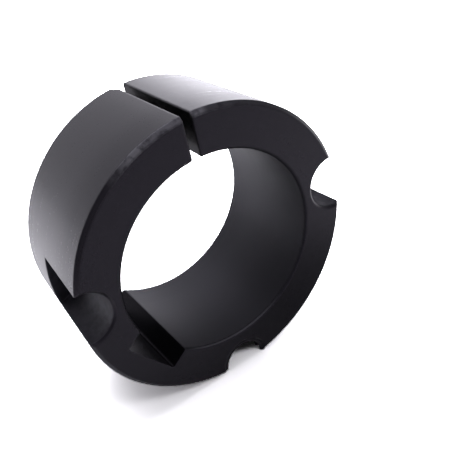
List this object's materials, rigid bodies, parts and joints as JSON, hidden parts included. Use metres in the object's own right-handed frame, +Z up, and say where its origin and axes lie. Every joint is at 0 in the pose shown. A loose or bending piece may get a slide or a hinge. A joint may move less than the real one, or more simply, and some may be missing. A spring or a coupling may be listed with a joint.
{
  "type": "taper bush",
  "caption": "Split tapered clamping bush: keyed bore, saw cut through the wall, plain and threaded half-holes in the outer taper.",
  "frame": {"origin": "bottom centre: on the bore axis, in the plane of the small end", "axes": "+Z up along the bore axis, from the small end to the large end; -Y through the saw cut, +Y through the jacking hole"},
  "size_m": [0.0566, 0.0568, 0.0254],
  "materials": {
    "blackened_iron": "black phosphate, oiled, satin"
  },
  "bodies": {
    "root": {"taper_bush": "blackened_iron"}
  },
  "joints": []
}
